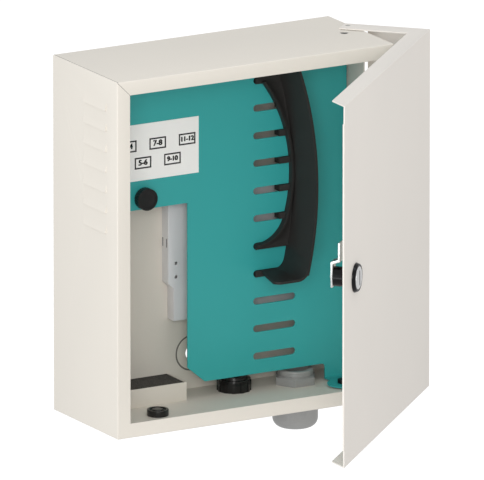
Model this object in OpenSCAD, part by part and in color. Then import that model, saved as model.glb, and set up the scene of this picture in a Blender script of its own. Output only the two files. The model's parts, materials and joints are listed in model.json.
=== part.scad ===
/* [Enclosure] */
// Outside width of the box
box_w = 302; // [296:1:340]
// Outside height of the box
box_h = 350; // [344:1:400]
// Outside depth of the box, back to front flanges
box_d = 125; // [120:1:145]
// Thickness of the folded sheet
sheet = 1.2; // [1:0.1:1.5]
// Width of the flanges around the front opening
rail_w = 14; // [12:0.5:15]
// Depth of the fold behind the left flange that the latch hooks on
jamb_return = 11; // [10:0.5:12]
// Depth of the right wall, measured from the back
right_wall = 70.5; // [68:0.5:73]
// Radius of the four screw holes in the back
wall_hole_r = 3.5; // [2.5:0.25:4.5]
// Distance between the wall screw holes, across
wall_hole_w = 220; // [200:5:230]
// Distance between the wall screw holes, up
wall_hole_h = 270; // [250:5:280]

/* [Louvres] */
// Number of louvres in the left wall
louvre_n = 7; // [3:1:8]
// Distance from one louvre to the next
louvre_pitch = 20; // [16:1:24]
// Length of a louvre
louvre_l = 43; // [30:1:50]
// Height of a louvre
louvre_h = 8; // [6:0.5:9]
// How far a louvre stands out of the wall
louvre_out = 1.8; // [1.8:0.1:3]
// Distance from the top of the box to the first louvre
louvre_top = 24; // [16:1:30]
// Distance from the front of the box to the louvres
louvre_front = 21; // [16:1:30]

/* [Door] */
// Angle that the door stands open at
door_open = 44.5; // [20:0.5:60]
// Gap between the box's front and the door's skin
door_gap = 0.8; // [0.5:0.1:1.5]
// Gap between the box's top and bottom and the door's flanges
flange_gap = 0.5; // [0.3:0.1:1]
// Gap between the box's right wall and the door's side skin
side_gap = 1.3; // [0.8:0.1:2]
// How far the door reaches past the box on the free side
door_over = 1.5; // [0:0.5:3]
// Depth of the door's top and bottom flanges
door_flange = 17; // [13:0.5:20]
// Width of those flanges along the door's side skin
hinge_flange = 20; // [18:0.5:24]
// How far the door's side skin laps the right wall
side_lap = 5; // [3:0.5:8]
// Width of the hem on the door's free edge
hem_w = 10; // [6:0.5:14]
// How far the hem stands out at the free edge
hem_out = 1; // [0.5:0.1:2]
// Length of the door edge that is left without a hem, at each end
hem_end = 16; // [12:1:24]

/* [Door hinge] */
// Distance from the box's right side to the hinge pins
hinge_in = 5.5; // [5:0.5:6.5]
// Distance from the back of the box to the hinge pins
hinge_back = 47.5; // [46:0.5:50]
// How far the hinge lug reaches past the pin
lug_past = 5; // [4.5:0.1:6]
// Radius of a hinge pin
pin_r = 2.4; // [2:0.1:3]
// Running clearance of every turning fit, on the radius
fit = 0.08; // [0.04:0.01:0.1]

/* [Latch] */
// Distance from the door's free edge to the latch
latch_in = 38.7; // [37:0.1:41]
// Radius of the latch's outside ring
ring_r = 14.5; // [13:0.5:16]
// Thickness of the ring
ring_t = 3.5; // [2.5:0.5:5]
// Radius of the latch's barrel
barrel_r = 9.5; // [9:0.5:10.5]
// Length of the barrel behind the ring
barrel_l = 20.4; // [19:0.1:23]
// Radius of the turning core
core_r = 7.5; // [6.5:0.5:7.5]
// Length of the cam, from the latch's axis
cam_l = 34; // [32:0.5:35]
// Width of the cam
cam_w = 12; // [12:1:18]
// Thickness of the cam
cam_t = 2; // [1.5:0.25:2.5]
// Gap between the locked cam and the fold that it hooks on
cam_gap = 0.5; // [0.3:0.1:1]

/* [Swing panel] */
// Distance from the back of the box to the panel's front face
panel_back = 40; // [38:0.5:42]
// Gap between the panel and the sides of the box's front opening
panel_gap = 2; // [1:0.5:3]
// Gap between the panel's right edge and the right wall
panel_side_gap = 1.2; // [0.8:0.1:1.6]
// Width of the strip at the panel's left side that the cut-out takes
cut_w = 108.5; // [100:0.5:112]
// Height of the cut-out's top edge above the box's underside
cut_z = 197; // [180:1:205]
// Height of the panel's bottom edge above the box's underside
panel_foot_z = 18; // [17:0.5:22]
// Width of the chamfer at the panel's lower left corner
chamfer_w = 19; // [10:1:24]
// Height of that chamfer
chamfer_h = 16; // [8:1:20]
// Width of the hinge tongues at the panel's right end
tongue_w = 23.6; // [22:0.1:24]
// Distance from the box's right side to the panel's pivots
pivot_in = 19.5; // [18.5:0.5:20]
// Distance from the panel's front face forward to the pivots
pivot_fwd = 25; // [24:0.5:27]
// Radius of a pivot screw's shank
pivot_r = 3; // [2.5:0.1:3.5]
// Radius of the pivot screws' heads
pivot_head_r = 6; // [5:0.25:7]
// Radius of the holes that the pivot bushes sit in
pivot_hole_r = 4.3; // [4:0.1:5]
// Radius of the thumb screw's knob
knob_r = 10.7; // [9:0.1:12]
// Height of the thumb screw's knob
knob_h = 7.5; // [5:0.5:9]
// Thickness of the bushes' collars under the panel's feet
pivot_washer_t = 1.2; // [1:0.1:2]
// Distance from the panel's left edge to the thumb screw
thumb_x = 61; // [56:0.5:70]
// Height of the thumb screw above the cut-out's top edge
thumb_z = 11; // [9:0.5:11]
// Radius of the thumb screw's shank
thumb_r = 2; // [1.5:0.1:2.5]

/* [Slots and slack guide] */
// Distance from one slot to the next
slot_pitch = 27.25; // [26:0.25:27.5]
// Length of a slot
slot_l = 46.3; // [44:0.1:50]
// Width of a slot
slot_w = 6.8; // [6:0.1:7.5]
// Distance from the panel's bottom edge to the lowest slot
slot_first = 17.3; // [14:0.1:19]
// Distance from the box's right side to the slots' middle
slot_in = 82; // [78:0.5:86]
// How far the slack guide stands out of the panel
guide_out = 47; // [40:1:48]
// Thickness of the slack guide's walls
guide_t = 2.5; // [2:0.25:3.5]
// Radius of the guide's outer wall, to its outside
ribbon_r = 368; // [350:1:390]
// Radius of the outer wall's lower corner
corner_r = 14; // [10:1:16]
// Distance from the slots' middle to the outer wall, at its furthest
ribbon_reach = 21.6; // [20:0.1:22.5]
// Radius of the guide's inner wall, to its outside
fin_r = 154; // [140:1:165]
// Distance from the slots' middle to the inner wall, at its furthest
fin_reach = 18.5; // [17:0.1:19]
// Radius of the inner wall's lower curl
curl_r = 35; // [30:1:37]
// How far the inner wall stands out of the panel
fin_out = 7; // [4:0.5:20]
// Radius of the guide's front corner, on its shelf
nose_r = 7; // [4:0.5:12]
// How much shorter the guide's shelf is at the panel than at its front
shelf_taper = 10; // [4:0.5:14]

/* [Label and ports] */
// Width of the port label
label_w = 106; // [100:1:106]
// Height of the port label
label_h = 55.6; // [45:0.2:60]
// Thickness of the port label
label_t = 0.4; // [0.2:0.1:0.5]
// Distance from the panel's left edge to the label
label_x = 14.7; // [12:0.1:18]
// Height of the label's lower edge above the cut-out's top edge
label_z = 28.7; // [24:0.1:32]
// Distance from one port to the next
port_pitch = 16.1; // [15.5:0.1:16.5]
// Width of a port adapter
port_w = 12.7; // [12:0.1:13]
// Thickness of a port adapter
port_t = 9.3; // [8.5:0.1:9.6]
// Length of a port adapter
port_l = 29; // [26:0.5:30]
// Depth between the two rows of ports
row_gap = 15; // [14:0.5:16]
// Height of the port shelf above the cut-out's top edge
shelf_z = 36; // [35:0.5:40]

/* [Splice tray] */
// Distance from the box's right side to the tray
tray_in = 23.7; // [20:0.1:60]
// Height of the tray
tray_h = 121; // [90:1:130]
// Thickness of the tray
tray_t = 12.3; // [9:0.1:14]
// Distance from the box's left side to the tray
tray_x = 118.3; // [116:0.1:120]
// Size of the step at the tray's lower left corner
tray_step = 6; // [4:0.5:8]
// Height of that step
tray_step_h = 32; // [20:1:36]

/* [Cable entries] */
// Distance from the box's right side to the large gland
gland_in = 54.4; // [53:0.1:58]
// Distance from the back to the large gland
gland_back = 32.2; // [28:0.1:33]
// Radius of the large gland's thread
gland_r = 17; // [15:0.5:17]
// Radius of the large gland's lock nut, over its corners
gland_nut_r = 21.5; // [20.5:0.1:21.5]
// Radius of the large gland's cap
gland_cap_r = 22; // [20:0.5:23]
// How far the large gland hangs below the box
gland_drop = 42; // [38:1:50]
// Radius of the cable bore in the large gland
gland_bore_r = 9; // [7:0.5:10]
// Distance from the large gland to the small one, across
gland_pitch = 64.3; // [60:0.1:66]
// Distance from the back to the small gland
small_back = 26.4; // [24:0.1:32]
// Radius of the small gland's thread
small_r = 12.5; // [10:0.5:12.5]
// Radius of the small gland's lock nut, over its corners
small_nut_r = 16.6; // [15:0.2:17]
// Radius of the small gland's cap
small_cap_r = 15.5; // [15:0.5:17]
// How far the small gland hangs below the box
small_drop = 26; // [24:1:30]
// Radius of the cable bore in the small gland
small_bore_r = 6; // [4:0.5:6.5]
// Radius of the rubber plug's head
plug_r = 10.5; // [9:0.1:12]
// Height of the rubber plug's head
plug_h = 6.1; // [4:0.1:8]
// Distance from the box's left side to the rubber plug
plug_x = 74.7; // [60:0.1:90]
// Distance from the box's front to the rubber plug
plug_front = 54.8; // [40:0.1:60]
// Distance from the small gland to the foam entry's right side
entry_gap = 58.8; // [40:0.1:62]
// Height of the foam entry above the box's underside
entry_h = 19.6; // [15:0.1:24]
// Radius of the knock-out in the back
knockout_r = 17; // [14:0.5:19]
// Radius of the hole in the knock-out's middle
knockout_hole_r = 6.9; // [3:0.1:8]
// Distance from the box's left side to the knock-out
knockout_x = 151; // [145:0.5:155]
// Height of the knock-out above the box's underside
knockout_z = 36.5; // [32:0.5:40]

/* [Hidden] */
$fn = 64;
// Overshoot of every cut past the face it opens
past = 1;

// The box's faces. The origin is the middle of the back, +Y runs into the wall
left = -box_w / 2;
right = box_w / 2;
low = -box_h / 2;
high = box_h / 2;
front = -box_d;
floor_z = low + sheet;
back_y = -sheet;

// The door's faces when it is shut
skin_out = front - door_gap - sheet;
door_left = left - door_over;
door_right = right + side_gap + sheet;
door_top = high + flange_gap + sheet;
pin_x = right - hinge_in;
pin_y = -hinge_back;
side_end = -right_wall + side_lap;
lug_end = pin_y + lug_past;
pin_hole_r = pin_r + fit;
pin_head_r = hinge_in - sheet - 0.3;
pin_head_t = 0.8;
// The hem folds inwards and stays clear of the box's front
hem_t = door_gap - 0.3;

// The latch
latch_x = door_left + latch_in;
latch_nut_t = 4;
latch_hole_r = barrel_r + 0.3;
cam_root_y = skin_out + barrel_l + 0.4;
cap_r = 11;
cap_seat = 1;
cam_hook_y = front + jamb_return + cam_gap;
core_out = 0.8;
key_slot_w = 1.6;
key_slot_l = 9;
key_slot_deep = 5;
bolt_r = 2.5;
bolt_head_r = 4.6;
bolt_head_t = 1;

// The panel's faces
panel_y = -panel_back;
panel_rear = panel_y + sheet;
panel_left = left + rail_w + panel_gap;
panel_right = right - sheet - panel_side_gap;
panel_top = high - rail_w - panel_gap;
panel_low = low + panel_foot_z;
cut_right = panel_left + cut_w;
cut_top = low + cut_z;
foot_low = floor_z + pivot_washer_t + 0.1;
foot_top = foot_low + sheet;
tongue_left = panel_right - tongue_w;
pivot_x = right - pivot_in;
pivot_y = panel_y - pivot_fwd;
foot_r = pivot_in - sheet - panel_side_gap - 1.1;
inner_corner_r = 3.5;
pivot_head_h = 3.6;

// The thumb screw and its post
thumb_cx = panel_left + thumb_x;
thumb_cz = cut_top + thumb_z;
thumb_tip_y = panel_rear + 3.6;
post_y = panel_rear + 0.6;
post_r = 5;

// The slots and the slack guide
slot_cx = right - slot_in;
slot_low_z = panel_low + slot_first;
slot_edge = 12;
slot_n = floor((panel_top - slot_low_z - slot_edge) / slot_pitch) + 1;
top_slot = slot_n - 1;
guide_mid_z = slot_low_z + 0.633 * top_slot * slot_pitch;
guide_top_z = panel_top - 4;
shelf_slot = 3;
curl_slot = 4;
tab_t = slot_w - 0.8;
tab_in = 6;
tab_gap = 1.5;
ribbon_c = [slot_cx + ribbon_reach - ribbon_r, guide_mid_z];
ribbon_low = asin((slot_z(shelf_slot) + corner_r - ribbon_c[1]) / (ribbon_r - corner_r));
corner_c = ribbon_c + (ribbon_r - corner_r) * [cos(ribbon_low), sin(ribbon_low)];
fin_c = [slot_cx + fin_reach - fin_r, guide_mid_z + 6.5];
fin_low = asin((slot_z(curl_slot) + curl_r - fin_c[1]) / (fin_r - curl_r));
curl_c = fin_c + (fin_r - curl_r) * [cos(fin_low), sin(fin_low)];

// The ports
shelf_top = cut_top + shelf_z;
label_left = panel_left + label_x;
port_x0 = label_left + label_w / 2 - 2.5 * port_pitch;
row_front = panel_rear + 8.8;
shelf_t = sheet;
port_fit = 0.15;
socket_w = 10.4;
socket_deep = 10;
cap_head = 4;

// The tray and the entries
tray_left = left + tray_x;
tray_w = right - tray_in - tray_left;
tray_top = cut_top - 2;
tray_low = tray_top - tray_h;
tray_front = back_y - tray_t;
tray_wall = 1.5;
gland_x = right - gland_in;
gland_y = -gland_back;
small_x = gland_x - gland_pitch;
small_y = -small_back;
entry_right = small_x - entry_gap;
entry_front = panel_rear + 0.3;
entry_lip = 6.5;
thread_top = panel_foot_z - 2.4;
gland_hex_t = 8;
small_hex_t = 6;
gland_washer_t = 1.5;
gland_nut_t = 8.5;
small_nut_t = 11.8;
tube_wall = 4;

// A straight tube along Z
module ring(outer, inner, height) {
    difference() {
        cylinder(r = outer, h = height);
        translate([0, 0, -past]) cylinder(r = inner, h = height + 2 * past);
    }
}

// A hexagon whose corners lie on the given radius
module hex(corner_r, height) {
    cylinder(r = corner_r, h = height, $fn = 6);
}

// A block given by two opposite corners
module block(a, b) {
    translate(a) cube(b - a);
}

// A round-ended slot along X, cut through Y
module slot_cut(length, width, depth) {
    for (side = [-1, 1])
        translate([side * (length - width) / 2, 0, 0])
            rotate([90, 0, 0]) cylinder(d = width, h = depth, center = true);
    cube([length - width, depth, width], center = true);
}

// Moves what is drawn shut to where the open door holds it
module on_door() {
    translate([pin_x, pin_y, 0]) rotate([0, 0, door_open]) translate([-pin_x, -pin_y, 0]) children();
}

// Turns a shape drawn along +Z to run from the latch's face into the box
module on_latch() {
    on_door() translate([latch_x, skin_out, 0]) rotate([-90, 0, 0]) children();
}

// One louvre's hood, its top edge at the origin and its outside towards -X
module louvre_hood() {
    rotate([90, 0, 0]) linear_extrude(louvre_l)
        polygon([[0, 0], [0, -louvre_h], [-louvre_out, -louvre_h]]);
}

// The way for air through one louvre, open downwards
module louvre_cut() {
    skin = 0.9;
    top = louvre_h * 0.4;
    translate([0, -skin, 0]) rotate([90, 0, 0]) linear_extrude(louvre_l - 2 * skin)
        polygon([
            [sheet + past, -top], [0, -top],
            [skin - louvre_out, -louvre_h - 0.1], [0, -louvre_h - 0.1],
            [0, -louvre_h], [sheet + past, -louvre_h]
        ]);
}

module at_louvres() {
    for (i = [0 : louvre_n - 1])
        translate([left, front + louvre_front + louvre_l, high - louvre_top - i * louvre_pitch])
            children();
}

module enclosure_shell() {
    color([0.89, 0.87, 0.83])
    difference() {
        union() {
            difference() {
                block([left, front, low], [right, 0, high]);
                block([left + sheet, front + sheet, floor_z], [right - sheet, back_y, high - sheet]);
                block([left + rail_w, front - past, low + rail_w], [right + past, front + 2 * sheet, high - rail_w]);
                block([right - sheet - past, front + sheet, floor_z], [right + past, -right_wall, high - sheet]);
            }
            block(
                [left + rail_w - sheet, front, low + rail_w + 2],
                [left + rail_w, front + jamb_return, high - rail_w - 2]
            );
            at_louvres() louvre_hood();
        }
        at_louvres() louvre_cut();
        for (sx = [-1, 1], sz = [-1, 1])
            translate([sx * wall_hole_w / 2, 0, sz * wall_hole_h / 2])
                rotate([90, 0, 0]) cylinder(r = wall_hole_r, h = 4 * sheet, center = true);
        translate([left + knockout_x, -sheet / 2, low + knockout_z]) rotate([90, 0, 0]) knockout_cut();
        translate([pin_x, pin_y, 0]) cylinder(r = pin_hole_r, h = box_h + 2 * past, center = true);
        translate([pivot_x, pivot_y, 0]) cylinder(r = pivot_hole_r, h = box_h + 2 * past, center = true);
        translate([gland_x, gland_y, low - past]) cylinder(r = gland_r, h = 4 * sheet);
        translate([small_x, small_y, low - past]) cylinder(r = small_r, h = 4 * sheet);
        translate([left + plug_x, front + plug_front, low - past]) cylinder(r = plug_r - 2.7, h = 4 * sheet);
        block(
            [left + sheet + entry_lip, entry_front + entry_lip, low - past],
            [entry_right - entry_lip, back_y - entry_lip, floor_z + past]
        );
    }
}

// A ring groove, half through the sheet from the inside, and a middle hole, around Z
module knockout_cut() {
    groove_w = 1.2;
    cylinder(r = knockout_hole_r, h = 4 * sheet, center = true);
    difference() {
        cylinder(r = knockout_r + groove_w / 2, h = 2 * sheet);
        translate([0, 0, -past]) cylinder(r = knockout_r - groove_w / 2, h = 2 * sheet + 2 * past);
    }
}

module hinge_pins() {
    color([0.6, 0.6, 0.58])
    for (s = [-1, 1])
        translate([pin_x, pin_y, 0]) mirror([0, 0, s < 0 ? 1 : 0]) {
            translate([0, 0, high - sheet]) cylinder(r = pin_r, h = 2 * sheet + flange_gap - 0.2);
            translate([0, 0, high - sheet - pin_head_t]) cylinder(r = pin_head_r, h = pin_head_t);
        }
}

module entry_frame() {
    color([0.85, 0.82, 0.77])
    difference() {
        block([left + sheet, entry_front, floor_z], [entry_right, back_y, low + entry_h]);
        block(
            [left + sheet - past, entry_front + sheet, floor_z - past],
            [entry_right - sheet, back_y + past, low + entry_h + past]
        );
    }
}

module entry_foam() {
    color([0.2, 0.19, 0.18])
    block(
        [left + sheet, entry_front + sheet, floor_z],
        [entry_right - sheet, back_y, low + entry_h - 0.4]
    );
}

module rubber_plug() {
    stem_r = plug_r - 2.7;
    color([0.08, 0.08, 0.08])
    translate([left + plug_x, front + plug_front, 0]) {
        difference() {
            translate([0, 0, floor_z]) cylinder(r = plug_r, h = plug_h);
            translate([0, 0, floor_z + plug_h - 1.5]) ring(plug_r - 2.4, plug_r - 5, 3);
        }
        translate([0, 0, low]) cylinder(r = stem_r, h = sheet);
        translate([0, 0, low - 1.6]) cylinder(r = plug_r - 1.2, h = 1.6);
    }
}

module gland_body() {
    neck_low = low - gland_hex_t - gland_washer_t - 16;
    color([0.7, 0.7, 0.69])
    translate([gland_x, gland_y, 0]) difference() {
        union() {
            translate([0, 0, low - gland_washer_t]) cylinder(r = gland_r, h = gland_washer_t + thread_top);
            translate([0, 0, low - gland_hex_t - gland_washer_t]) hex(gland_cap_r, gland_hex_t);
            translate([0, 0, neck_low]) cylinder(r = gland_r - 1, h = 17);
        }
        translate([0, 0, neck_low - past]) cylinder(r = gland_r - tube_wall, h = box_h);
    }
}

module gland_washer() {
    color([0.15, 0.15, 0.15])
    translate([gland_x, gland_y, low - gland_washer_t]) ring(gland_r + 3, gland_r, gland_washer_t);
}

module gland_lock_nut() {
    color([0.74, 0.74, 0.73])
    translate([gland_x, gland_y, floor_z]) difference() {
        union() {
            hex(gland_nut_r, gland_nut_t - 0.8);
            cylinder(r = gland_nut_r * cos(30), h = gland_nut_t);
        }
        translate([0, 0, -past]) cylinder(r = gland_r, h = gland_nut_t + 2 * past);
    }
}

module gland_seal() {
    neck_low = low - gland_hex_t - gland_washer_t - 16;
    color([0.12, 0.12, 0.12])
    translate([gland_x, gland_y, neck_low - 9]) ring(gland_r - 1.4, gland_bore_r, 9);
}

// Half section of a gland's cap, its mouth up: outer radius, neck radius, cable bore, height
module cap_section(outer, neck, bore, height) {
    round_r = outer * 0.42;
    floor_t = height * 0.16;
    polygon(concat(
        [[neck, height], [neck, floor_t], [bore, floor_t], [bore, 0]],
        [for (a = [0 : 10 : 90]) [outer - round_r + round_r * sin(a), round_r * (1 - cos(a))]],
        [[outer, height]]
    ));
}

module gland_cap() {
    cap_h = gland_drop - gland_hex_t - gland_washer_t - 0.3;
    color([0.66, 0.66, 0.66])
    translate([gland_x, gland_y, low - gland_drop])
        rotate_extrude() cap_section(gland_cap_r, gland_r - 1 + fit, gland_bore_r + 1.5, cap_h);
}

module small_gland_body() {
    neck_low = low - small_hex_t - 9;
    color([0.07, 0.07, 0.07])
    translate([small_x, small_y, 0]) difference() {
        union() {
            translate([0, 0, low]) cylinder(r = small_r, h = thread_top);
            translate([0, 0, low - small_hex_t]) hex(small_cap_r, small_hex_t);
            translate([0, 0, neck_low]) cylinder(r = small_r - 1, h = 10);
        }
        translate([0, 0, neck_low - past]) cylinder(r = small_r - tube_wall, h = box_h);
    }
}

module small_gland_lock_nut() {
    rib_n = 12;
    color([0.09, 0.09, 0.09])
    translate([small_x, small_y, floor_z]) difference() {
        union() {
            cylinder(r = small_nut_r - 0.6, h = small_nut_t);
            for (i = [0 : rib_n - 1])
                rotate([0, 0, i * 360 / rib_n])
                    block([0, -1.6, 0], [small_nut_r, 1.6, small_nut_t - 1.2]);
        }
        translate([0, 0, -past]) cylinder(r = small_r, h = small_nut_t + 2 * past);
    }
}

module small_gland_seal() {
    neck_low = low - small_hex_t - 9;
    color([0.12, 0.12, 0.12])
    translate([small_x, small_y, neck_low - 5]) ring(small_r - 1.4, small_bore_r, 5);
}

module small_gland_cap() {
    cap_h = small_drop - small_hex_t - 0.3;
    color([0.07, 0.07, 0.07])
    translate([small_x, small_y, low - small_drop])
        rotate_extrude() cap_section(small_cap_r, small_r - 1 + fit, small_bore_r + 1.5, cap_h);
}

// The tray's outline seen from the front, with the step at its lower left
module tray_outline(inset) {
    l = tray_left + inset;
    r = tray_left + tray_w - inset;
    b = tray_low + inset;
    t = tray_top - inset;
    step_top = tray_low + tray_step_h;
    polygon([
        [l, t], [l, step_top + tray_step], [l + tray_step, step_top],
        [l + tray_step, b], [r, b], [r, t]
    ]);
}

module splice_tray() {
    side_slot_z = cut_top - 50;
    side_slot_w = 1.6;
    color([0.8, 0.8, 0.79])
    difference() {
        translate([0, back_y, 0]) rotate([90, 0, 0]) linear_extrude(tray_t - 1) tray_outline(0);
        translate([0, back_y - tray_wall, 0]) rotate([90, 0, 0]) linear_extrude(tray_t) tray_outline(tray_wall);
        for (dy = [1.7, 9.2])
            translate([tray_left - past, back_y - dy - side_slot_w / 2, side_slot_z])
                cube([tray_wall + 2 * past, side_slot_w, 8.4]);
    }
}

module tray_cover() {
    hole_x = tray_left + 8.7;
    hole_pitch = 13.5;
    upper_hole_z = tray_top - 64;
    color([0.86, 0.86, 0.85])
    difference() {
        translate([0, tray_front + 1, 0]) rotate([90, 0, 0]) linear_extrude(1) tray_outline(0);
        for (i = [0, 1])
            translate([hole_x, tray_front, upper_hole_z - i * hole_pitch]) rotate([90, 0, 0]) cylinder(r = 1.6, h = 6, center = true);
    }
}

module splice_holders() {
    holder_l = 46;
    color([0.3, 0.3, 0.3])
    for (i = [0 : 5])
        translate([tray_left + tray_w / 2 - holder_l / 2, back_y - tray_wall - 5, tray_low + tray_h / 2 - 18 + i * 6.4])
            difference() {
                cube([holder_l, 5, 4.4]);
                translate([-past, -past, 1.2]) cube([holder_l + 2 * past, 4, 2]);
            }
}

module screw_post() {
    color([0.7, 0.7, 0.68])
    translate([thumb_cx, back_y, thumb_cz]) rotate([90, 0, 0]) difference() {
        hex(post_r, back_y - post_y);
        translate([0, 0, back_y - post_y - 12]) cylinder(r = thumb_r + fit, h = 12 + past);
    }
}

module pivot_screws() {
    color([0.08, 0.08, 0.08])
    for (s = [-1, 1])
        translate([pivot_x, pivot_y, 0]) mirror([0, 0, s > 0 ? 1 : 0]) {
            translate([0, 0, low + 0.6]) cylinder(r = pivot_r, h = foot_top + 0.2 - low - 0.6);
            translate([0, 0, foot_top + 0.2]) cylinder(r = pivot_head_r, h = pivot_head_h);
        }
}

module pivot_bushes() {
    color([0.75, 0.75, 0.73])
    for (s = [-1, 1])
        translate([pivot_x, pivot_y, 0]) mirror([0, 0, s > 0 ? 1 : 0]) {
            translate([0, 0, floor_z]) ring(pivot_r + 4.5, pivot_r, pivot_washer_t);
            translate([0, 0, low + 0.4]) ring(pivot_hole_r, pivot_r, sheet - 0.4);
        }
}

// One foot of the panel in plan: a tongue that runs forward and ends round the pivot
module foot_plan() {
    difference() {
        union() {
            translate([tongue_left, pivot_y]) square([panel_right - 0.6 - tongue_left, panel_rear - pivot_y]);
            translate([pivot_x, pivot_y]) circle(r = foot_r);
        }
        translate([pivot_x, pivot_y]) circle(r = pivot_r + fit);
    }
}

module swing_panel() {
    color([0.18, 0.58, 0.56])
    difference() {
        union() {
            translate([0, panel_rear, 0]) rotate([90, 0, 0]) linear_extrude(sheet) panel_outline();
            translate([0, 0, foot_low]) linear_extrude(sheet) foot_plan();
            translate([0, 0, -foot_top]) linear_extrude(sheet) foot_plan();
        }
        for (i = [0 : slot_n - 1])
            translate([slot_cx, panel_y, slot_z(i)]) slot_cut(slot_l, slot_w, 4 * sheet);
        translate([thumb_cx, panel_y, thumb_cz]) rotate([90, 0, 0])
            cylinder(r = thumb_r + fit, h = 4 * sheet, center = true);
    }
}

// The panel's outline seen from the front, with the two tongues that its feet are folded from
module panel_outline() {
    difference() {
        union() {
            polygon([
                [panel_left, panel_top], [panel_left, cut_top], [cut_right, cut_top],
                [cut_right, panel_low + chamfer_h], [cut_right + chamfer_w, panel_low],
                [tongue_left, panel_low], [tongue_left, foot_low],
                [panel_right, foot_low], [panel_right, -foot_low],
                [tongue_left, -foot_low], [tongue_left, panel_top]
            ]);
            translate([tongue_left - inner_corner_r, panel_low - inner_corner_r])
                square(inner_corner_r + past);
        }
        translate([tongue_left - inner_corner_r, panel_low - inner_corner_r]) circle(r = inner_corner_r);
    }
}

module port_label() {
    color([0.93, 0.93, 0.92])
    block(
        [label_left, panel_y - label_t, cut_top + label_z],
        [label_left + label_w, panel_y, cut_top + label_z + label_h]
    );
}

// The height of a slot's middle, counted from the lowest
function slot_z(i) = slot_low_z + i * slot_pitch;

// A stretch of a round wall between two angles, seen from the front
module arc_wall(centre, outer, from, to) {
    reach = 1.5 * outer;
    lap = 1;
    translate(centre) intersection() {
        difference() {
            circle(r = outer, $fn = 180);
            circle(r = outer - guide_t, $fn = 180);
        }
        polygon([[0, 0], reach * [cos(from - lap), sin(from - lap)], reach * [cos(to), sin(to)]]);
    }
}

// The guide's outer wall, its lower corner and the shelf that the corner runs into
module ribbon_outline() {
    arc_wall(ribbon_c, ribbon_r, ribbon_low, asin((guide_top_z - ribbon_c[1]) / ribbon_r));
    arc_wall(corner_c, corner_r, -90, ribbon_low);
    translate([slot_cx - slot_l / 2 - tab_gap, slot_z(shelf_slot)])
        square([corner_c[0] - slot_cx + slot_l / 2 + tab_gap, guide_t]);
}

// The guide's inner wall, which curls into a slot at its lower end
module fin_outline() {
    arc_wall(fin_c, fin_r, fin_low, asin((slot_z(top_slot) - fin_c[1]) / fin_r));
    arc_wall(curl_c, curl_r, -90, fin_low);
}

// The thin plate that joins the two walls along the panel's face
module web_outline() {
    curl_end = curl_c[1] + curl_r * sin(fin_low);
    difference() {
        intersection() {
            translate(ribbon_c) circle(r = ribbon_r - guide_t / 2, $fn = 180);
            translate([curl_c[0], slot_z(curl_slot) - guide_t])
                square([fin_r, guide_top_z - slot_z(curl_slot) + guide_t]);
        }
        translate(curl_c) circle(r = curl_r - guide_t / 2);
        intersection() {
            translate(fin_c) circle(r = fin_r - guide_t / 2, $fn = 180);
            translate([fin_c[0], curl_end]) square([fin_r, 2 * fin_r]);
        }
    }
}

module slack_guide() {
    shelf_left = slot_cx - slot_l / 2 - tab_gap;
    foot_left_x = slot_cx - slot_l / 2 + tab_gap;
    foot_in = 7;
    foot_right_x = slot_cx + slot_l / 2 - foot_in;
    short_w = 12;
    color([0.1, 0.1, 0.1]) {
        difference() {
            translate([0, panel_y, 0]) rotate([90, 0, 0]) linear_extrude(guide_out) ribbon_outline();
            translate([shelf_left, panel_y - guide_out, slot_z(shelf_slot) - past]) difference() {
                translate([-past, -past, 0]) cube([nose_r + past, nose_r + past, guide_t + 2 * past]);
                translate([nose_r, nose_r, -past]) cylinder(r = nose_r, h = guide_t + 4 * past);
            }
            translate([shelf_left, panel_y, slot_z(shelf_slot) - past]) linear_extrude(guide_t + 2 * past)
                polygon([
                    [-past, past], [shelf_taper, past], [shelf_taper, 0],
                    [0, nose_r - guide_out], [-past, nose_r - guide_out]
                ]);
        }
        translate([0, panel_y, 0]) rotate([90, 0, 0]) linear_extrude(fin_out) fin_outline();
        translate([0, panel_y, 0]) rotate([90, 0, 0]) linear_extrude(guide_t) web_outline();
        for (i = [shelf_slot, curl_slot, top_slot])
            block(
                [foot_left_x, panel_y - guide_t, slot_z(i) - tab_t / 2],
                [foot_right_x, panel_rear + tab_in, slot_z(i) + tab_t / 2]
            );
        for (i = [curl_slot + 1 : top_slot - 1])
            block(
                [foot_right_x - short_w, panel_y - guide_t, slot_z(i) - tab_t / 2],
                [foot_right_x, panel_rear + tab_in, slot_z(i) + tab_t / 2]
            );
    }
}

// Where each port goes: its column, and the front or the rear row
function port_at(i) = [port_x0 + i * port_pitch, row_front + (i % 2) * row_gap];

module port_shelf() {
    shelf_rear = row_front + row_gap + port_t / 2 + 3;
    upright_h = 12;
    color([0.72, 0.72, 0.7])
    difference() {
        union() {
            block([label_left, panel_rear, shelf_top - shelf_t], [label_left + label_w, shelf_rear, shelf_top]);
            block([label_left, panel_rear, shelf_top - shelf_t], [label_left + label_w, panel_rear + shelf_t, shelf_top + upright_h]);
        }
        for (i = [0 : 5])
            translate([port_at(i)[0], port_at(i)[1], shelf_top])
                cube([port_w + 2 * port_fit, port_t + 2 * port_fit, 8 * sheet], center = true);
    }
}

// One duplex adapter: a body with a collar that rests on the shelf and a socket at each end
module port(i) {
    collar = 1.5;
    color([0.15, 0.3, 0.6])
    translate([port_at(i)[0], port_at(i)[1], shelf_top]) difference() {
        union() {
            cube([port_w, port_t, port_l], center = true);
            translate([0, 0, 1]) cube([port_w + 2 * collar, port_t + 2 * collar, 2], center = true);
        }
        for (sz = [-1, 1])
            translate([0, 0, sz * port_l / 2]) cube([socket_w, port_t - 3, 2 * socket_deep], center = true);
    }
}

module port_1_2() port(0);
module port_3_4() port(1);
module port_5_6() port(2);
module port_7_8() port(3);
module port_9_10() port(4);
module port_11_12() port(5);

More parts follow.
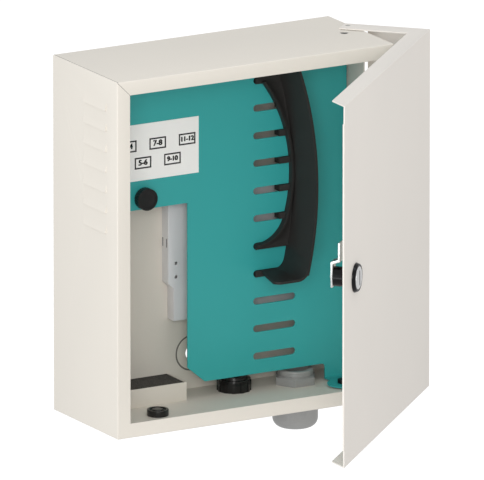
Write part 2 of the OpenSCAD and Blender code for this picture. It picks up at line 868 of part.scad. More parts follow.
// One dust cap for each socket, its stem in the socket and its head against the adapter's end
module dust_caps() {
    play = 0.1;
    color([0.85, 0.85, 0.85])
    for (i = [0 : 5], up = [0, 1])
        translate([port_at(i)[0], port_at(i)[1], shelf_top]) mirror([0, 0, up]) {
            translate([0, 0, port_l / 2 + cap_head / 2]) cube([socket_w + 1, port_t - 2, cap_head], center = true);
            translate([0, 0, port_l / 2 - socket_deep / 2 + 1])
                cube([socket_w - 2 * play, port_t - 3 - 2 * play, socket_deep - 1], center = true);
        }
}

module thumb_screw() {
    rib_n = 24;
    color([0.08, 0.08, 0.08])
    translate([thumb_cx, panel_y, thumb_cz]) rotate([90, 0, 0]) {
        difference() {
            translate([0, 0, 0.2]) cylinder(r = knob_r, h = knob_h);
            for (i = [0 : rib_n - 1])
                rotate([0, 0, i * 360 / rib_n]) translate([knob_r + 0.35, 0, -past]) cylinder(r = 0.7, h = knob_h - 0.2, $fn = 16);
            translate([0, 0, knob_h - 0.6]) cylinder(r = knob_r - 2, h = 2);
        }
        translate([0, 0, -(thumb_tip_y - panel_y)]) cylinder(r = thumb_r, h = thumb_tip_y - panel_y + 1);
    }
}

module thumb_clip() {
    color([0.7, 0.7, 0.7])
    translate([thumb_cx, panel_rear + 0.1, thumb_cz]) rotate([-90, 0, 0])
        ring(thumb_r + 1.8, thumb_r, 0.4);
}

// The door's folded top and its twin below, in plan
module door_flange_plan() {
    polygon([
        [door_right, skin_out], [door_left, skin_out],
        [door_left + door_flange, skin_out + door_flange],
        [door_right - hinge_flange, skin_out + door_flange],
        [door_right - hinge_flange, lug_end], [door_right, lug_end]
    ]);
}

module door_skin() {
    color([0.86, 0.84, 0.8])
    on_door() difference() {
        union() {
            block([door_left, skin_out, -door_top], [door_right, skin_out + sheet, door_top]);
            block([door_right - sheet, skin_out, -door_top], [door_right, side_end, door_top]);
            translate([0, 0, door_top - sheet]) linear_extrude(sheet) door_flange_plan();
            translate([0, 0, -door_top]) linear_extrude(sheet) door_flange_plan();
            block(
                [door_left - hem_out, skin_out + 0.2, -high + hem_end],
                [door_left + hem_w, skin_out + sheet + hem_t, high - hem_end]
            );
        }
        translate([pin_x, pin_y, 0]) cylinder(r = pin_hole_r, h = box_h * 2, center = true);
        translate([latch_x, skin_out, 0]) rotate([90, 0, 0]) cylinder(r = latch_hole_r, h = 8 * sheet, center = true);
    }
}

module latch_barrel() {
    color([0.06, 0.06, 0.06])
    on_latch() difference() {
        union() {
            translate([0, 0, -ring_t]) cylinder(r1 = ring_r - 1.5, r2 = ring_r, h = ring_t);
            cylinder(r = barrel_r, h = barrel_l);
        }
        translate([0, 0, -ring_t - past]) cylinder(r = core_r + fit, h = barrel_l + ring_t + 2 * past);
        translate([0, 0, -ring_t - past]) cylinder(r = cap_r + fit, h = ring_t - cap_seat + past);
    }
}

module latch_nut() {
    color([0.75, 0.75, 0.74])
    on_latch() translate([0, 0, sheet]) difference() {
        hex(barrel_r + 3, latch_nut_t);
        translate([0, 0, -past]) cylinder(r = barrel_r, h = latch_nut_t + 2 * past);
    }
}

module latch_core() {
    cap_low = -cap_seat - 0.1;
    color([0.78, 0.78, 0.77])
    on_latch() difference() {
        union() {
            translate([0, 0, -ring_t - core_out]) cylinder(r = core_r, h = barrel_l + ring_t + core_out + 0.4);
            translate([0, 0, -ring_t - core_out]) cylinder(r1 = cap_r - 2, r2 = cap_r, h = core_out);
            translate([0, 0, -ring_t]) cylinder(r = cap_r, h = ring_t + cap_low);
        }
        translate([-key_slot_w / 2, -key_slot_l / 2, -ring_t - core_out - past])
            cube([key_slot_w, key_slot_l, key_slot_deep + past]);
    }
}

// The cam points up while the latch is open
module latch_cam() {
    root_end = 13;
    hook_start = 15.2;
    color([0.83, 0.83, 0.82])
    on_door() translate([latch_x, 0, 0]) difference() {
        union() {
            block([-cam_w / 2, cam_root_y, -10], [cam_w / 2, cam_root_y + cam_t, root_end + cam_t]);
            translate([-cam_w / 2, 0, 0]) rotate([90, 0, 90]) linear_extrude(cam_w) polygon([
                [cam_root_y, root_end], [cam_root_y + cam_t, root_end],
                [cam_root_y + cam_t, root_end + cam_t], [cam_hook_y + cam_t, hook_start + cam_t],
                [cam_hook_y, hook_start + cam_t], [cam_hook_y, hook_start]
            ]);
            block([-cam_w / 2, cam_hook_y, hook_start], [cam_w / 2, cam_hook_y + cam_t, cam_l]);
        }
        translate([0, cam_root_y, 0]) rotate([90, 0, 0]) cylinder(r = bolt_r, h = 6 * cam_t, center = true);
    }
}

module cam_bolt() {
    color([0.7, 0.7, 0.7])
    on_door() translate([latch_x, cam_root_y, 0]) rotate([-90, 0, 0]) {
        cylinder(r = bolt_r, h = cam_t);
        translate([0, 0, cam_t]) hex(bolt_head_r, bolt_head_t);
    }
}

enclosure_shell();
hinge_pins();
entry_frame();
entry_foam();
rubber_plug();
gland_body();
gland_washer();
gland_lock_nut();
gland_seal();
gland_cap();
small_gland_body();
small_gland_lock_nut();
small_gland_seal();
small_gland_cap();
splice_tray();
tray_cover();
splice_holders();
screw_post();
pivot_screws();
pivot_bushes();
swing_panel();
port_label();
slack_guide();
port_shelf();
port_1_2();
port_3_4();
port_5_6();
port_7_8();
port_9_10();
port_11_12();
dust_caps();
thumb_screw();
thumb_clip();
door_skin();
latch_barrel();
latch_nut();
latch_core();
latch_cam();
cam_bolt();
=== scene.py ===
"""The looks of a wall box for optical fibres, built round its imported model."""

import json
import math

import bmesh
import bpy
from mathutils import Matrix, Vector

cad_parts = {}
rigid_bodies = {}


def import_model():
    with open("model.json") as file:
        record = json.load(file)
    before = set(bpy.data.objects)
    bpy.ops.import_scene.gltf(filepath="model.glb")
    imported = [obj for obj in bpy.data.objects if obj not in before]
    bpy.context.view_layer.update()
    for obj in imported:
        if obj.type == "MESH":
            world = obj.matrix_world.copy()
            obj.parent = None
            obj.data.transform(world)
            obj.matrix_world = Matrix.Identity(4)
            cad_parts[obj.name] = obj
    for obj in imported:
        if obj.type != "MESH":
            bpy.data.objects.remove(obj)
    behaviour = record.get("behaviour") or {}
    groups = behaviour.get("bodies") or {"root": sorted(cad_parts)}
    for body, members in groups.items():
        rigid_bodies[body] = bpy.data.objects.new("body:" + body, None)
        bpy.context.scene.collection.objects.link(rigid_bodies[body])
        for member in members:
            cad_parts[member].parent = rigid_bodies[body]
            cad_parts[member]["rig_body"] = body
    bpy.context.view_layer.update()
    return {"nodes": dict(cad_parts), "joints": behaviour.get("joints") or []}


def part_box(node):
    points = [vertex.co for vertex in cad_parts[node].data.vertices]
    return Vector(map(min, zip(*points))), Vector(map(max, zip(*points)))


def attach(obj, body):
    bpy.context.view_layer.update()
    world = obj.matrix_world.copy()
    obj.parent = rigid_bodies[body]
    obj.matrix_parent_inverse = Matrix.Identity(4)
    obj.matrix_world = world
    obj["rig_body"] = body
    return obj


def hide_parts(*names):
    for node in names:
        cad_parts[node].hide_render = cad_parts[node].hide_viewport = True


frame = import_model()

# The camera looks from the front left and a little from above. It is so far away that the
# box shows almost without perspective.
MM = 0.001
FRAME_WIDTH = 461.8 * MM
LENS, SENSOR = 1400.0, 36.0
AZIMUTH, ELEVATION = math.radians(-29.73), math.radians(14.91)
LOOKED_AT = Vector((19.1, -65.0, -14.8)) * MM
to_camera = Vector((
    math.sin(AZIMUTH) * math.cos(ELEVATION),
    -math.cos(AZIMUTH) * math.cos(ELEVATION),
    math.sin(ELEVATION),
))
scene = bpy.context.scene
scene.view_settings.view_transform = "Standard"
camera = bpy.data.objects.new("camera", bpy.data.cameras.new("camera"))
camera.data.lens = LENS
camera.data.sensor_width = SENSOR
camera.location = LOOKED_AT + to_camera * (FRAME_WIDTH * LENS / SENSOR)
camera.rotation_euler = (-to_camera).to_track_quat("-Z", "Y").to_euler()
scene.collection.objects.link(camera)
scene.camera = camera


# The room is white to the eye and lights the box softly from all sides, through windows in
# front, at both sides, low on the left and above. An expression on values adds Math nodes.
class Value:
    """A number that changes over a surface, wrapped so that it can be reckoned with."""

    def __init__(self, tree, socket):
        self.tree, self.socket = tree, socket

    def math(self, operation, *values):
        settings, inputs = {"operation": operation}, dict(enumerate(values))
        made = add_node(self.tree, "ShaderNodeMath", settings, inputs)
        return Value(self.tree, made.outputs[0])

    def __add__(self, other):
        return self.math("ADD", self, other)

    def __sub__(self, other):
        return self.math("SUBTRACT", self, other)

    def __rsub__(self, other):
        return self.math("SUBTRACT", other, self)

    def __mul__(self, other):
        return self.math("MULTIPLY", self, other)

    def __lt__(self, other):
        return self.math("LESS_THAN", self, other)

    def __gt__(self, other):
        return self.math("GREATER_THAN", self, other)

    def __abs__(self):
        return self.math("ABSOLUTE", self)

    __radd__ = __add__
    __rmul__ = __mul__


def add_node(tree, kind, settings, inputs):
    """One shader node, its settings set first, then a value or a link on each socket."""
    made = tree.nodes.new(kind)
    for name, value in settings.items():
        setattr(made, name, value)
    for name, value in inputs.items():
        if isinstance(value, Value):
            tree.links.new(value.socket, made.inputs[name])
        else:
            made.inputs[name].default_value = value
    return made


ROOM_GLOW = 0.7
room = bpy.data.worlds.new("room")
scene.world = room
room.use_nodes = True
rays = add_node(room.node_tree, "ShaderNodeLightPath", {}, {})
seen = Value(room.node_tree, rays.outputs["Is Camera Ray"])
glow = seen * (1 - ROOM_GLOW) + ROOM_GLOW
background = room.node_tree.nodes["Background"]
background.inputs["Color"].default_value = (1, 1, 1, 1)
room.node_tree.links.new(glow.socket, background.inputs["Strength"])


def window(name, place, size, watts, tint):
    """A square soft light that faces the box."""
    lamp = bpy.data.lights.new(name, "AREA")
    lamp.color = tint
    lamp.size = size
    lamp.energy = watts
    lit = bpy.data.objects.new(name, lamp)
    lit.location = place
    lit.rotation_euler = (-Vector(place)).to_track_quat("-Z", "Y").to_euler()
    scene.collection.objects.link(lit)


window("window_front", (-1.4, -2.45, 0.77), size=1.0, watts=27, tint=(1.0, 0.985, 0.955))
window("window_right", (2.3, -2.2, -0.2), size=1.2, watts=11, tint=(1.0, 0.985, 0.96))
window("window_left", (-3.0, -0.6, 0.8), size=1.6, watts=24, tint=(0.90, 0.95, 1.0))
window("window_low", (-2.6, -1.45, -0.5), size=0.8, watts=8, tint=(0.95, 0.97, 1.0))
window("window_above", (0.2, -0.8, 3.0), size=1.6, watts=15.5, tint=(0.88, 0.95, 1.0))


# The box is one blank of 1.2 mm steel, folded into back, walls and front flanges and welded at
# the corners, then powder coated in a warm grey white. Its folds have a visible outer radius.
class Finish:
    """A material with its Principled shader, and the patterns that a finish is mixed from."""

    def __init__(self, name, roughness, metallic=0.0, **plain):
        self.material = bpy.data.materials.new(name)
        self.material.use_nodes = True
        self.tree = self.material.node_tree
        self.shader = self.tree.nodes["Principled BSDF"]
        self.shader.inputs["Roughness"].default_value = roughness
        self.shader.inputs["Metallic"].default_value = metallic
        for socket, value in plain.items():
            self.shader.inputs[socket.replace("_", " ")].default_value = value
        self.place = Value(self.tree, self.node("ShaderNodeTexCoord", {}, {}).outputs["Object"])

    def node(self, kind, settings, inputs):
        return add_node(self.tree, kind, settings, inputs)

    def noise(self, scale, detail=2.0, stretch=(1, 1, 1)):
        """Soft noise, with so many cells to a metre."""
        turned = self.node("ShaderNodeMapping", {}, {"Vector": self.place, "Scale": stretch})
        vector = Value(self.tree, turned.outputs["Vector"])
        settled = {"Vector": vector, "Scale": scale, "Detail": detail}
        made = self.node("ShaderNodeTexNoise", {}, settled)
        return Value(self.tree, made.outputs[0])

    def cells(self, scale):
        """The distance to the nearest of scattered points, with so many points to a metre."""
        made = self.node("ShaderNodeTexVoronoi", {}, {"Vector": self.place, "Scale": scale})
        return Value(self.tree, made.outputs["Distance"])

    def axes(self):
        """The three coordinates of a point on the surface, in metres."""
        made = self.node("ShaderNodeSeparateXYZ", {}, {"Vector": self.place})
        return [Value(self.tree, made.outputs[i]) for i in range(3)]

    def paint(self, share, below, above):
        made = self.node("ShaderNodeMix", {"data_type": "RGBA"}, {0: share, 6: below, 7: above})
        self.tree.links.new(made.outputs[2], self.shader.inputs["Base Color"])

    def colour(self, first, second, share):
        """The base colour, from the first where share is 0 to the second where it is 1."""
        self.paint(share, (*first, 1), (*second, 1))

    def over(self, colour, share):
        """Lays another colour over the base colour where share is 1."""
        below = Value(self.tree, self.shader.inputs["Base Color"].links[0].from_socket)
        self.paint(share, below, (*colour, 1))

    def roughness(self, value):
        self.tree.links.new(value.socket, self.shader.inputs["Roughness"])

    def bump(self, height, distance, strength):
        raised = {"Height": height, "Distance": distance, "Strength": strength}
        made = self.node("ShaderNodeBump", {}, raised)
        self.tree.links.new(made.outputs["Normal"], self.shader.inputs["Normal"])


def shade(colour, factor):
    """The same colour, darker or lighter."""
    return tuple(min(1.0, part * factor) for part in colour)


def powder_coat(name, colour, roughness):
    """Sprayed and baked powder: the fine peel of the coat, and a faint change of tone."""
    finish = Finish(name, roughness)
    tone = finish.noise(9, detail=3)
    peel = finish.noise(900)
    finish.colour(shade(colour, 0.965), shade(colour, 1.03), tone * 0.85 + peel * 0.15)
    finish.roughness(tone * 0.1 + peel * 0.06 + (roughness - 0.08))
    finish.bump(peel, 0.04 * MM, 0.2)
    return finish


CREAM = (0.725, 0.682, 0.615)
SEAM_TONE_AND_GROOVE_SHADE = 0.3
SEAM_WIDTH, SEAM_IN = 0.3 * MM, 1.2 * MM
FLANGE = 14 * MM
cream_coat = powder_coat("cream_powder_coat", CREAM, 0.5)
shell_low, shell_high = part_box("enclosure_shell")
x, y, z = cream_coat.axes()
from_left = x + shell_high.x
from_end = shell_high.z - z
end_seam = (abs(from_left - SEAM_IN) < SEAM_WIDTH) * (from_end < 2 * SEAM_WIDTH)
in_front = y < shell_low.y + SEAM_WIDTH
mitre = (abs(from_left - from_end) < SEAM_WIDTH) * in_front * (from_left < FLANGE)
cream_coat.over(shade(CREAM, SEAM_TONE_AND_GROOVE_SHADE), end_seam + mitre)

# The knock-out in the back is cut half through along a ring; painted shade darkens the coat
# there.
KNOCKOUT_X, KNOCKOUT_Z, KNOCKOUT_RADIUS = 0.0, -138.5 * MM, 17 * MM
GROOVE, BACK_SHEET = 0.8 * MM, 2 * MM
across, up = x - KNOCKOUT_X, z - KNOCKOUT_Z
from_middle = x.math("SQRT", across * across + up * up)
groove_shade = (abs(from_middle - KNOCKOUT_RADIUS) < GROOVE) * (y > shell_high.y - BACK_SHEET)
cream_coat.over(shade(CREAM, SEAM_TONE_AND_GROOVE_SHADE), groove_shade)

# Its mesh is the node's own, with the folds rounded and the cut edges of the sheet only eased.
FLAT = math.radians(0.4)
SHARP = math.radians(30)
SMOOTH_LIMIT = math.radians(38)
FOLD_RADIUS, FOLD_STEPS, FOLD_LENGTH, FOLD_FACE = 1.1 * MM, 4, 20 * MM, 900 * MM * MM
RIM_RADIUS, RIM_LENGTH, RIM_ANGLE = 0.2 * MM, 4 * MM, math.radians(60)


def link(name, built, finish, body):
    """A finished piece: its mesh, material, body and material slot."""
    mesh = bpy.data.meshes.new(name)
    built.to_mesh(mesh)
    built.free()
    stale = [layer for layer in mesh.attributes if layer.name in ("custom_normal", "sharp_edge")]
    for layer in stale:
        mesh.attributes.remove(layer)
    mesh.shade_smooth()
    mesh.set_sharp_from_angle(angle=SMOOTH_LIMIT)
    mesh.materials.clear()
    mesh.materials.append(finish.material)
    piece = bpy.data.objects.new(name, mesh)
    scene.collection.objects.link(piece)
    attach(piece, body)
    return piece


def bevel(built, edges, width, segments):
    bmesh.ops.bevel(
        built, geom=edges, offset=width, offset_type="OFFSET", segments=segments,
        profile=0.5, affect="EDGES", clamp_overlap=True, material=-1,
    )


def merged(node):
    """The node's faces as a closed mesh, with its flat faces whole."""
    built = bmesh.new()
    built.from_mesh(frame["nodes"][node].data)
    bmesh.ops.remove_doubles(built, verts=built.verts, dist=0.002 * MM)
    bmesh.ops.dissolve_limit(
        built, angle_limit=FLAT, use_dissolve_boundaries=False,
        verts=built.verts, edges=built.edges, delimit={"NORMAL"},
    )
    return built


def sharp_edges(built, shortest, angle=SHARP):
    """The edges between two faces that meet at more than an angle."""
    return [
        edge for edge in built.edges
        if len(edge.link_faces) == 2
        and edge.calc_face_angle(0) > angle and edge.calc_length() > shortest
    ]


def stand_for(node, built, finish):
    """Links a finished mesh in the place of its node."""
    piece = link(f"{node}_finished", built, finish, frame["nodes"][node]["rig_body"])
    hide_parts(node)


def dress_sheet(node, finish):
    """A folded sheet: its folds are rounded, and its cut edges only eased."""
    built = merged(node)
    folds = [
        edge for edge in sharp_edges(built, FOLD_LENGTH)
        if edge.is_convex and all(face.calc_area() > FOLD_FACE for face in edge.link_faces)
    ]
    bevel(built, folds, FOLD_RADIUS, FOLD_STEPS)
    bevel(built, sharp_edges(built, RIM_LENGTH, RIM_ANGLE), RIM_RADIUS, 1)
    stand_for(node, built, finish)


dress_sheet("enclosure_shell", cream_coat)

# The door is a second folded sheet that laps over the box like a lid, hung on two zinc plated
# pins through its top and bottom lugs. It has the same coat, a little smoother, with its colour
# painted lighter as painted light on the door.


def plated(name, colour, roughness, along=(1, 1, 12)):
    """Plated steel: fine drawn lines and a cloudy tone."""
    finish = Finish(name, roughness, metallic=1.0)
    lines = finish.noise(700, detail=3, stretch=along)
    cloud = finish.noise(60, detail=3)
    finish.colour(shade(colour, 0.85), shade(colour, 1.08), lines * 0.4 + cloud * 0.6)
    finish.roughness(lines * 0.15 + cloud * 0.12 + (roughness - 0.12))
    finish.bump(lines, 0.01 * MM, 0.4)
    return finish


def dress(node, finish, edge=0.25 * MM, segments=2, shortest=0.3 * MM):
    """The node as a finished piece: the same shape, with every sharp edge eased."""
    built = merged(node)
    if edge:
        bevel(built, sharp_edges(built, shortest), edge, segments)
    stand_for(node, built, finish)


# The door's cream is the box's cream painted lighter: painted light on the door.
LIT_DOOR_CREAM = (0.785, 0.742, 0.690)
lit_door_coat = powder_coat("lit_door_powder_coat", LIT_DOOR_CREAM, 0.46)
zinc = plated("zinc_plate", (0.46, 0.46, 0.45), 0.34)
dress_sheet("door_skin", lit_door_coat)
dress("hinge_pins", zinc)

# The swing panel is a teal coated sheet with two folded feet that turn on screws in the box's
# floor and top. Its slots take the slack guide's tabs and cable ties.
TEAL = (0.035, 0.395, 0.395)
teal_coat = powder_coat("teal_powder_coat", TEAL, 0.42)
dress("swing_panel", teal_coat, edge=0.2 * MM, segments=1, shortest=1.0 * MM)
black_oxide = plated("black_oxide", (0.035, 0.035, 0.036), 0.38)
dress("pivot_screws", black_oxide)
dress("pivot_bushes", zinc)

# The port label is a white film with six framed pairs of port numbers, printed in black.
# The frames step up and down as the two rows of adapters behind the panel do.
film = Finish("label_film", 0.38)
film_grain = film.noise(500)
film.colour((0.955, 0.955, 0.945), (1.0, 1.0, 0.99), film.noise(40))
film.roughness(film_grain * 0.1 + 0.33)
film.bump(film_grain, 0.005 * MM, 0.5)
dress("port_label", film, edge=0.08 * MM, segments=1)


def moulded(name, colour, roughness, grain=1400.0, depth=0.03 * MM, **plain):
    """Injection moulded plastic with the spark grain of its mould."""
    finish = Finish(name, roughness, **plain)
    fine = finish.noise(grain)
    tone = finish.noise(40)
    finish.colour(shade(colour, 0.85), shade(colour, 1.2), tone * 0.6 + fine * 0.4)
    finish.roughness(fine * 0.12 + tone * 0.08 + (roughness - 0.1))
    finish.bump(fine, depth, 0.5)
    return finish


ink = moulded("label_ink", (0.014, 0.014, 0.015), 0.55, grain=900, depth=0.01 * MM)
label_low, label_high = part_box("port_label")
label_middle = (label_low.x + label_high.x) / 2
PAIRS, LONG_PAIRS = 6, 2
PORT_PITCH = 16.1 * MM
ROW_HEIGHTS = (17.3 * MM, 34.7 * MM)
FRAME_WIDE, FRAME_HIGH, FRAME_STROKE = 18.2 * MM, 11.4 * MM, 1.45 * MM
DIGIT_SIZE, LONG_DIGITS, DIGIT_SWELL = 7.4 * MM, 0.86, 0.12 * MM
BOLD_STEPS = [Vector((dx, dy, 0)) * MM for dx, dy in ((-0.36, 0), (0.36, 0.3), (0.36, -0.3))]
INK_THICKNESS = 0.06 * MM


def draw_frame(built, centre):
    """A flat rectangular frame of one stroke's width."""
    corners = bmesh.ops.create_grid(built, x_segments=1, y_segments=1, size=0.5)["verts"]
    bmesh.ops.scale(built, verts=corners, vec=(FRAME_WIDE, FRAME_HIGH, 1))
    bmesh.ops.translate(built, verts=corners, vec=centre)
    inside = corners[0].link_faces[0]
    bmesh.ops.inset_region(
        built, faces=[inside], thickness=FRAME_STROKE, use_even_offset=True, use_boundary=True,
    )
    bmesh.ops.delete(built, geom=[inside], context="FACES_ONLY")


def write_number(built, words, size, centre):
    """Flat figures, made bold by a few copies that are each moved on by one small step."""
    writing = bpy.data.curves.new("writing", "FONT")
    writing.body = words
    writing.size = size
    writing.align_x, writing.align_y = "CENTER", "CENTER"
    writing.offset = DIGIT_SWELL
    holder = bpy.data.objects.new("writing", writing)
    scene.collection.objects.link(holder)
    shown = holder.evaluated_get(bpy.context.evaluated_depsgraph_get())
    figures = bpy.data.meshes.new_from_object(shown)
    figures.transform(Matrix.Translation(centre))
    for step in BOLD_STEPS:
        figures.transform(Matrix.Translation(step))
        built.from_mesh(figures)
    bpy.data.objects.remove(holder)


def print_on_label(name, built):
    """Sets flat ink, drawn round the origin in X and Y, upright on the label."""
    bmesh.ops.rotate(built, verts=built.verts, matrix=Matrix.Rotation(math.pi / 2, 3, "X"))
    piece = link(name, built, ink, "panel")
    piece.data.transform(Matrix.Translation((0, label_low.y, 0)))
    solid = piece.modifiers.new("ink", "SOLIDIFY")
    solid.thickness = INK_THICKNESS
    solid.offset = 1.0


frames, numbers = bmesh.new(), bmesh.new()
for pair in range(PAIRS):
    aside = (pair - (PAIRS - 1) / 2) * PORT_PITCH
    centre = Vector((label_middle + aside, label_low.z + ROW_HEIGHTS[pair % 2], 0))
    size = DIGIT_SIZE * (LONG_DIGITS if pair >= PAIRS - LONG_PAIRS else 1.0)
    draw_frame(frames, centre)
    write_number(numbers, f"{2 * pair + 1}-{2 * pair + 2}", size, centre)
print_on_label("port_frames", frames)
print_on_label("port_numbers", numbers)

# The slack guide is one black moulding: a bent wall that keeps the fibre loop off the panel's
# edge, a low inner wall, and tabs that snap into the panel's slots.
GUIDE_BLACK = (0.022, 0.021, 0.020)
guide_black = moulded("guide_black", GUIDE_BLACK, 0.55, grain=1100, Specular_IOR_Level=0.3)
dress("slack_guide", guide_black, edge=0.35 * MM)

# The thumb screw holds the panel's free side to a post on the back. Its knob is a black
# moulding with a dished face, and a spring clip keeps it in the panel.
KNOB_BLACK = (0.012, 0.012, 0.013)
knob_black = moulded("knob_black", KNOB_BLACK, 0.38, grain=1600, Specular_IOR_Level=0.3)
dress("thumb_screw", knob_black, edge=0.3 * MM)
dress("thumb_clip", zinc, edge=0)
dress("screw_post", zinc)

# The cam lock: a glossy black ring and threaded barrel clamped by a nut behind the door, a
# chromed core with its key slot, and a bright cranked cam held by a bolt.
LOCK_BLACK = (0.004, 0.004, 0.005)
lock_black = moulded(
    "lock_black", LOCK_BLACK, 0.16, grain=900, depth=0.01 * MM, Specular_IOR_Level=0.22,
)
chrome = plated("chrome_plate", (0.80, 0.80, 0.80), 0.14)
bright_zinc = plated("bright_zinc", (0.86, 0.86, 0.85), 0.26, along=(12, 1, 1))
dress("latch_barrel", lock_black, edge=0.5 * MM, segments=3)
dress("latch_nut", zinc, edge=0.4 * MM)
dress("latch_core", chrome, edge=0.3 * MM, segments=3)
dress("latch_cam", bright_zinc, edge=0.35 * MM, segments=3)
dress("cam_bolt", zinc)
SPIN_STEPS = 48


def thread(name, start, axis, radius, pitch, turns, depth, finish, body):
    """The ridges of a fine thread on a shaft: a closed zigzag band spun round the axis."""
    across = axis.orthogonal().normalized()
    built = bmesh.new()

    def point(out, along):
        return built.verts.new(start + across * out + axis * along)

    outline = [point(radius - depth, 0)]
    for turn in range(turns):
        outline.append(point(radius, turn * pitch))
        outline.append(point(radius + depth, (turn + 0.5) * pitch))
    outline += [point(radius, turns * pitch), point(radius - depth, turns * pitch)]
    edges = [built.edges.new(ends) for ends in zip(outline, outline[1:] + outline[:1])]
    bmesh.ops.spin(
        built, geom=outline + edges, cent=start, axis=axis, angle=2 * math.pi,
        steps=SPIN_STEPS, use_merge=True, use_duplicate=False,
    )
    bmesh.ops.recalc_face_normals(built, faces=built.faces)
    link(name, built, finish, body)


turn = next(joint for joint in frame["joints"] if joint["name"] == "latch_turn")
lock_axis, lock_place = Vector(turn["axis"]), Vector(turn["pos_m"])
BARREL_RADIUS, BARREL_START = 9.5 * MM, 6 * MM
BARREL_PITCH, BARREL_TURNS, BARREL_RIDGE = 1.25 * MM, 11, 0.08 * MM
thread(
    "barrel_thread", lock_place - lock_axis * BARREL_START, -lock_axis, BARREL_RADIUS,
    BARREL_PITCH, BARREL_TURNS, BARREL_RIDGE, lock_black, "door",
)

# A black shutter sits in the key slot just under the core's face as painted shade inside the
# slot, with a mark at either end.
SHADE_SHUTTER, SHADE_SHUTTER_DEPTH = Vector((1.5, 1.6, 8.8)) * MM, 0.7 * MM
MARK, MARK_AWAY = Vector((1.9, 0.1, 2.6)) * MM, 5.9 * MM
UPWARDS = Vector((0, 0, 1))
core = frame["nodes"]["latch_core"].data
core_face = max(lock_axis.dot(corner.co - lock_place) for corner in core.vertices)
lock_turn = Matrix((lock_axis.cross(UPWARDS), lock_axis, UPWARDS)).transposed()


def lock_bar(built, size, out, height):
    """A bar on the core: its size, and its middle past the core's face and up."""
    corners = bmesh.ops.create_cube(built, size=1)["verts"]
    bmesh.ops.scale(built, verts=corners, vec=size)
    bmesh.ops.translate(built, verts=corners, vec=(0, core_face + out, height))
    bmesh.ops.rotate(built, verts=corners, matrix=lock_turn)
    bmesh.ops.translate(built, verts=corners, vec=lock_place)


key_slot = bmesh.new()
lock_bar(key_slot, SHADE_SHUTTER, -SHADE_SHUTTER_DEPTH, 0)
for side in (-1, 1):
    lock_bar(key_slot, MARK, 0, side * MARK_AWAY)
link("key_slot", key_slot, lock_black, "latch")

# The splice tray stands on the back of the box: a shallow folded tray for the fibre splices
# with a flat cover, both of light grey coated sheet. The coat round the two slots in its side is
# painted dark, as painted shade inside them.
TRAY_GREY = (0.780, 0.780, 0.800)
TRAY_WALL, TRAY_SHADOW = 1.5 * MM, 0.33
SLOT_APART, SLOT_WIDTH, SLOT_LENGTH = 7.5 * MM, 2.0 * MM, 8.6 * MM
SLOTS_IN, SLOTS_UP = 5.45 * MM, 77.2 * MM
tray_coat = powder_coat("tray_coat", TRAY_GREY, 0.4)
tray_low, tray_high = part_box("splice_tray")
x, y, z = tray_coat.axes()
# Painted shade: the coat is darker round the two slots in the tray's side.
from_slot = abs(abs(y - (tray_high.y - SLOTS_IN)) - SLOT_APART / 2)
beside = (x < tray_low.x + TRAY_WALL) * (from_slot < SLOT_WIDTH / 2)
slot_shade = beside * (abs(z - (tray_low.z + SLOTS_UP)) < SLOT_LENGTH / 2)
tray_coat.over(shade(TRAY_GREY, TRAY_SHADOW), slot_shade)
dress("splice_tray", tray_coat, edge=0.25 * MM)
dress("tray_cover", tray_coat, edge=0.2 * MM)
dress("splice_holders", guide_black, edge=0)

# The cable glands: a grey one and a small black one, each with a body through the floor, a lock
# nut inside, and a dome nut outside that squeezes a rubber seal round the cable.
GLAND_GREY, GLAND_BLACK = (0.290, 0.292, 0.288), (0.006, 0.006, 0.006)
gland_grey = moulded("gland_grey", GLAND_GREY, 0.4, grain=1200)
gland_black = moulded(
    "gland_black", GLAND_BLACK, 0.2, grain=1000, depth=0.01 * MM, Specular_IOR_Level=0.4,
)
rubber = moulded("black_rubber", (0.016, 0.016, 0.016), 0.62, grain=1500, depth=0.04 * MM)
for node in ("gland_body", "gland_lock_nut", "gland_cap"):
    dress(node, gland_grey, edge=0.5 * MM, segments=3)
for node in ("small_gland_body", "small_gland_lock_nut", "small_gland_cap"):
    dress(node, gland_black, edge=0.35 * MM)
for node in ("gland_washer", "gland_seal", "small_gland_seal"):
    dress(node, rubber)
GLAND_RADIUS, GLAND_PITCH, GLAND_TURNS, GLAND_RIDGE = 17 * MM, 1.5 * MM, 3, 0.3 * MM
THREAD_START = 0.4 * MM
gland_low, gland_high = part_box("gland_body")
nut_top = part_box("gland_lock_nut")[1].z
thread_foot = (gland_low + gland_high) / 2
thread_foot.z = nut_top + THREAD_START
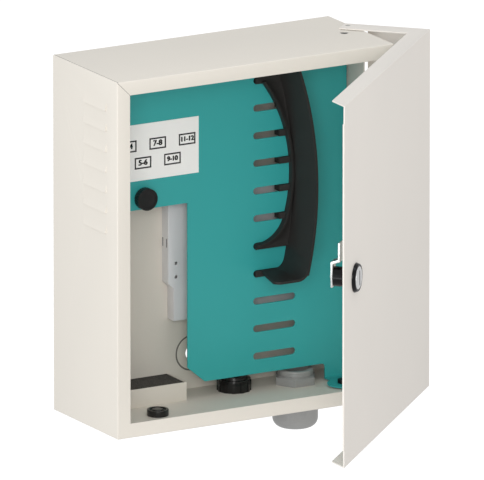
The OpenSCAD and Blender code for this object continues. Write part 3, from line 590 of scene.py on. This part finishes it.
thread(
    "gland_thread", thread_foot, UPWARDS, GLAND_RADIUS, GLAND_PITCH, GLAND_TURNS,
    GLAND_RIDGE, gland_grey, "housing",
)

# The wide cable entry is a rectangular sheet frame in the box's own coat, packed with dark open
# foam. A glossy rubber plug closes the spare hole beside it.
FOAM_PORE_SHADE, FOAM_SKIN = (0.020, 0.018, 0.016), (0.085, 0.078, 0.070)
foam = Finish("entry_foam", 0.95)
pores = foam.cells(700)
# The pores are painted darker than the skin, as painted shade in their hollows.
foam.colour(FOAM_PORE_SHADE, FOAM_SKIN, pores * 1.1 + foam.noise(60) * 0.3)
foam.bump(pores, 0.5 * MM, 0.8)
dress("entry_frame", cream_coat)
dress("entry_foam", foam, edge=0.5 * MM)
plug_rubber = moulded("plug_rubber", (0.010, 0.010, 0.010), 0.3, grain=900, depth=0.02 * MM)
dress("rubber_plug", plug_rubber, edge=0.7 * MM, segments=3)

# Behind the panel a small shelf carries six duplex adapters, blue mouldings closed with pale
# dust caps at both ends.
adapter_blue = moulded("adapter_blue", (0.03, 0.12, 0.40), 0.3, grain=1200)
cap_white = moulded("cap_white", (0.72, 0.72, 0.70), 0.35, grain=1200)
dress("port_shelf", tray_coat)
dress("dust_caps", cap_white, edge=0.2 * MM)
for pair in range(PAIRS):
    dress(f"port_{2 * pair + 1}_{2 * pair + 2}", adapter_blue, edge=0.2 * MM)

# The floor is pale and lies far below, as under a box on a wall. It glows evenly, and neither
# lights the box nor shows in its gloss.
FLOOR_DROP, FLOOR_REACH, FLOOR_GLOW = 1.2, 500, 1.1
white_floor = Finish(
    "white_floor", 1.0, Base_Color=(0, 0, 0, 1), Specular_IOR_Level=0.0,
    Emission_Color=(1, 1, 1, 1), Emission_Strength=FLOOR_GLOW,
)
ground = bmesh.new()
bmesh.ops.create_grid(ground, x_segments=1, y_segments=1, size=FLOOR_REACH)
bmesh.ops.translate(ground, verts=ground.verts, vec=(0, 0, -FLOOR_DROP))
floor_mesh = bpy.data.meshes.new("floor")
ground.to_mesh(floor_mesh)
ground.free()
floor_mesh.materials.append(white_floor.material)
floor = bpy.data.objects.new("floor", floor_mesh)
floor.visible_diffuse = False
floor.visible_glossy = False
scene.collection.objects.link(floor)
